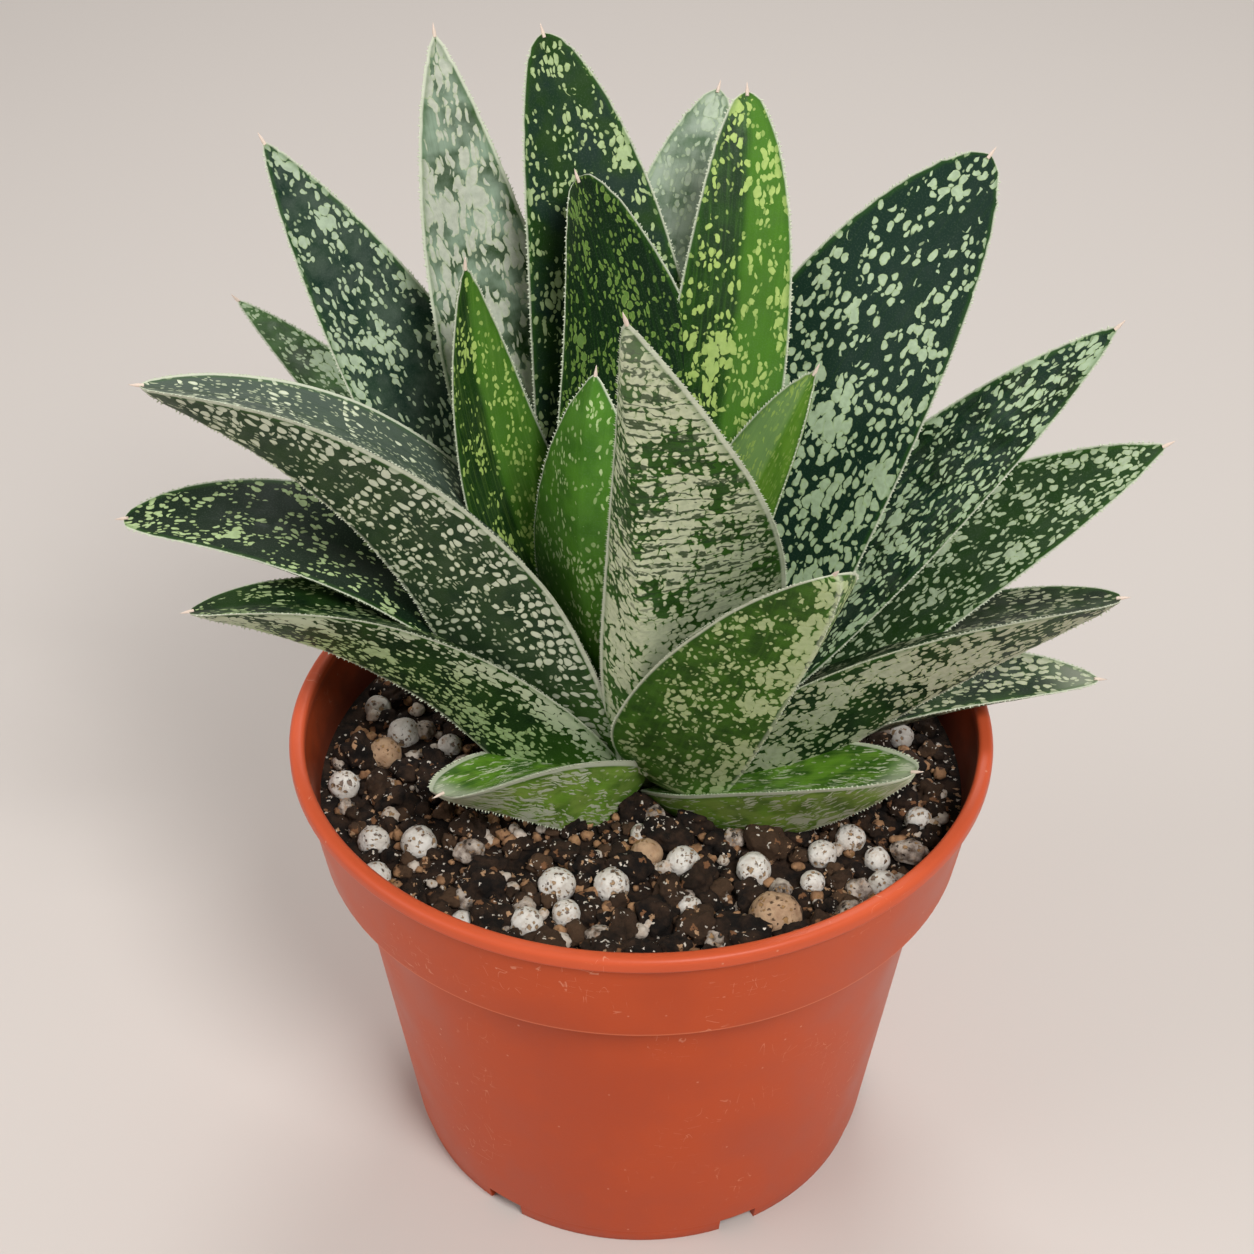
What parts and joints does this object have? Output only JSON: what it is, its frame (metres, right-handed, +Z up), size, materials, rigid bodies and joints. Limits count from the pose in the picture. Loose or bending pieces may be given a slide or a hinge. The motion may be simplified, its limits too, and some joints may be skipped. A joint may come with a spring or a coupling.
{
  "type": "potted gasteraloe",
  "caption": "Potted gasteraloe: a rosette of thick, pointed, spotted leaves rising from peat and white grit in a round terracotta-coloured plastic nursery pot with a deep collar.",
  "frame": {"origin": "On the pot's axis, in the plane that the foot ring stands on. The middle of the footprint box lies about 1 mm from it, because the leaves are uneven.", "axes": "+Z is up along the pot's axis. -Y is the front, where the soil shows most and the broad front leaf stands. +X is to the right as seen from the front."},
  "size_m": [0.168, 0.122, 0.1937],
  "materials": {
    "terracotta_plastic": "moulded terracotta-orange plastic, satin on the lip",
    "peat_mix": null,
    "stem_green": "pale green succulent stem",
    "leaf_green": "dark blue-green waxy leaf with pale spots and toothed margins",
    "young_leaf_green": "bright green young leaf with fewer spots",
    "pumice_white": "white pitted pumice or perlite",
    "tan_stone": "tan pitted grit"
  },
  "bodies": {
    "root": {"pot": "terracotta_plastic", "soil": "peat_mix", "stem": "stem_green", "leaf_01": "leaf_green", "leaf_02": "leaf_green", "leaf_03": "leaf_green", "leaf_04": "leaf_green", "leaf_05": "leaf_green", "leaf_06": "leaf_green", "leaf_07": "leaf_green", "leaf_08": "leaf_green", "leaf_09": "leaf_green", "leaf_10": "leaf_green", "leaf_11": "young_leaf_green", "leaf_12": "young_leaf_green", "leaf_13": "young_leaf_green", "leaf_14": "leaf_green", "leaf_15": "leaf_green", "leaf_16": "leaf_green", "leaf_17": "leaf_green", "leaf_18": "leaf_green", "leaf_19": "leaf_green", "leaf_20": "leaf_green", "leaf_21": "young_leaf_green", "leaf_22": "leaf_green", "leaf_23": "leaf_green", "leaf_24": "leaf_green", "leaf_25": "leaf_green", "leaf_26": "leaf_green", "leaf_27": "young_leaf_green", "pumice_01": "pumice_white", "pumice_02": "pumice_white", "pumice_03": "pumice_white", "pumice_04": "pumice_white", "pumice_05": "pumice_white", "pumice_06": "pumice_white", "pumice_07": "pumice_white", "pumice_08": "pumice_white", "pumice_09": "pumice_white", "pumice_10": "pumice_white", "pumice_11": "pumice_white", "pumice_12": "pumice_white", "pumice_13": "pumice_white", "pumice_14": "pumice_white", "pumice_15": "pumice_white", "pumice_16": "pumice_white", "pumice_17": "pumice_white", "pumice_18": "pumice_white", "pumice_19": "pumice_white", "pumice_20": "pumice_white", "pumice_21": "pumice_white", "pumice_22": "pumice_white", "pumice_23": "pumice_white", "pumice_24": "pumice_white", "pumice_25": "pumice_white", "pumice_26": "pumice_white", "tan_stone_01": "tan_stone", "tan_stone_02": "tan_stone", "tan_stone_03": "tan_stone"}
  },
  "joints": []
}
